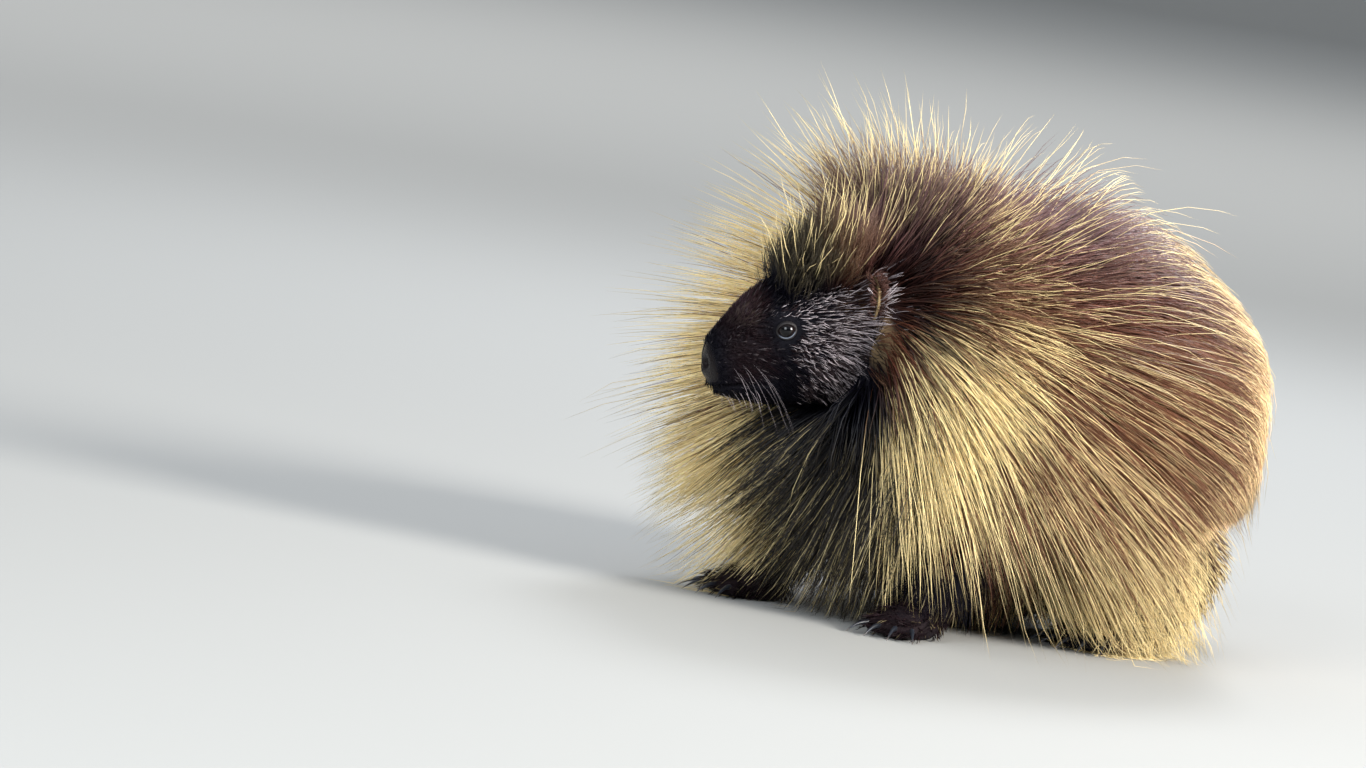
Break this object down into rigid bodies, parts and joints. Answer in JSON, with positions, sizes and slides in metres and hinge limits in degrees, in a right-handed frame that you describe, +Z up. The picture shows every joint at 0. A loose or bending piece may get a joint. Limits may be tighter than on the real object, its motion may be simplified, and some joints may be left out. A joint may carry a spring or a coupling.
{
  "type": "porcupine",
  "caption": "Adult North American porcupine, a still life-size model standing with its head turned to its right and its long guard hair hanging as skirts.",
  "frame": {"origin": "on the floor, under the middle of the model's bounding box", "axes": "+Z up, the body faces -Y and its left side is +X"},
  "size_m": [0.3684, 0.4692, 0.3529],
  "materials": {
    "coat": "long pale yellow guard hair over dark brown underfur",
    "mane": "long pale yellow guard hair, erect on the nape",
    "face": "short near-black fur with grey-white tips on the cheeks",
    "limb": "short dark brown fur",
    "eye": "wet black",
    "claw": "dark grey horn, semi-gloss"
  },
  "bodies": {
    "root": {"torso": "coat", "neck": "mane", "head": "face", "tail_base": "coat", "tail_tip": "coat", "eye_left": "eye", "ear_left": "face", "foreleg_left": "limb", "forefoot_left": "limb", "hindleg_left": "limb", "hindfoot_left": "limb", "fore_claw_left_1": "claw", "fore_claw_left_2": "claw", "fore_claw_left_3": "claw", "fore_claw_left_4": "claw", "hind_claw_left_1": "claw", "hind_claw_left_2": "claw", "hind_claw_left_3": "claw", "hind_claw_left_4": "claw", "hind_claw_left_5": "claw", "eye_right": "eye", "ear_right": "face", "foreleg_right": "limb", "forefoot_right": "limb", "hindleg_right": "limb", "hindfoot_right": "limb", "fore_claw_right_1": "claw", "fore_claw_right_2": "claw", "fore_claw_right_3": "claw", "fore_claw_right_4": "claw", "hind_claw_right_1": "claw", "hind_claw_right_2": "claw", "hind_claw_right_3": "claw", "hind_claw_right_4": "claw", "hind_claw_right_5": "claw"}
  },
  "joints": []
}
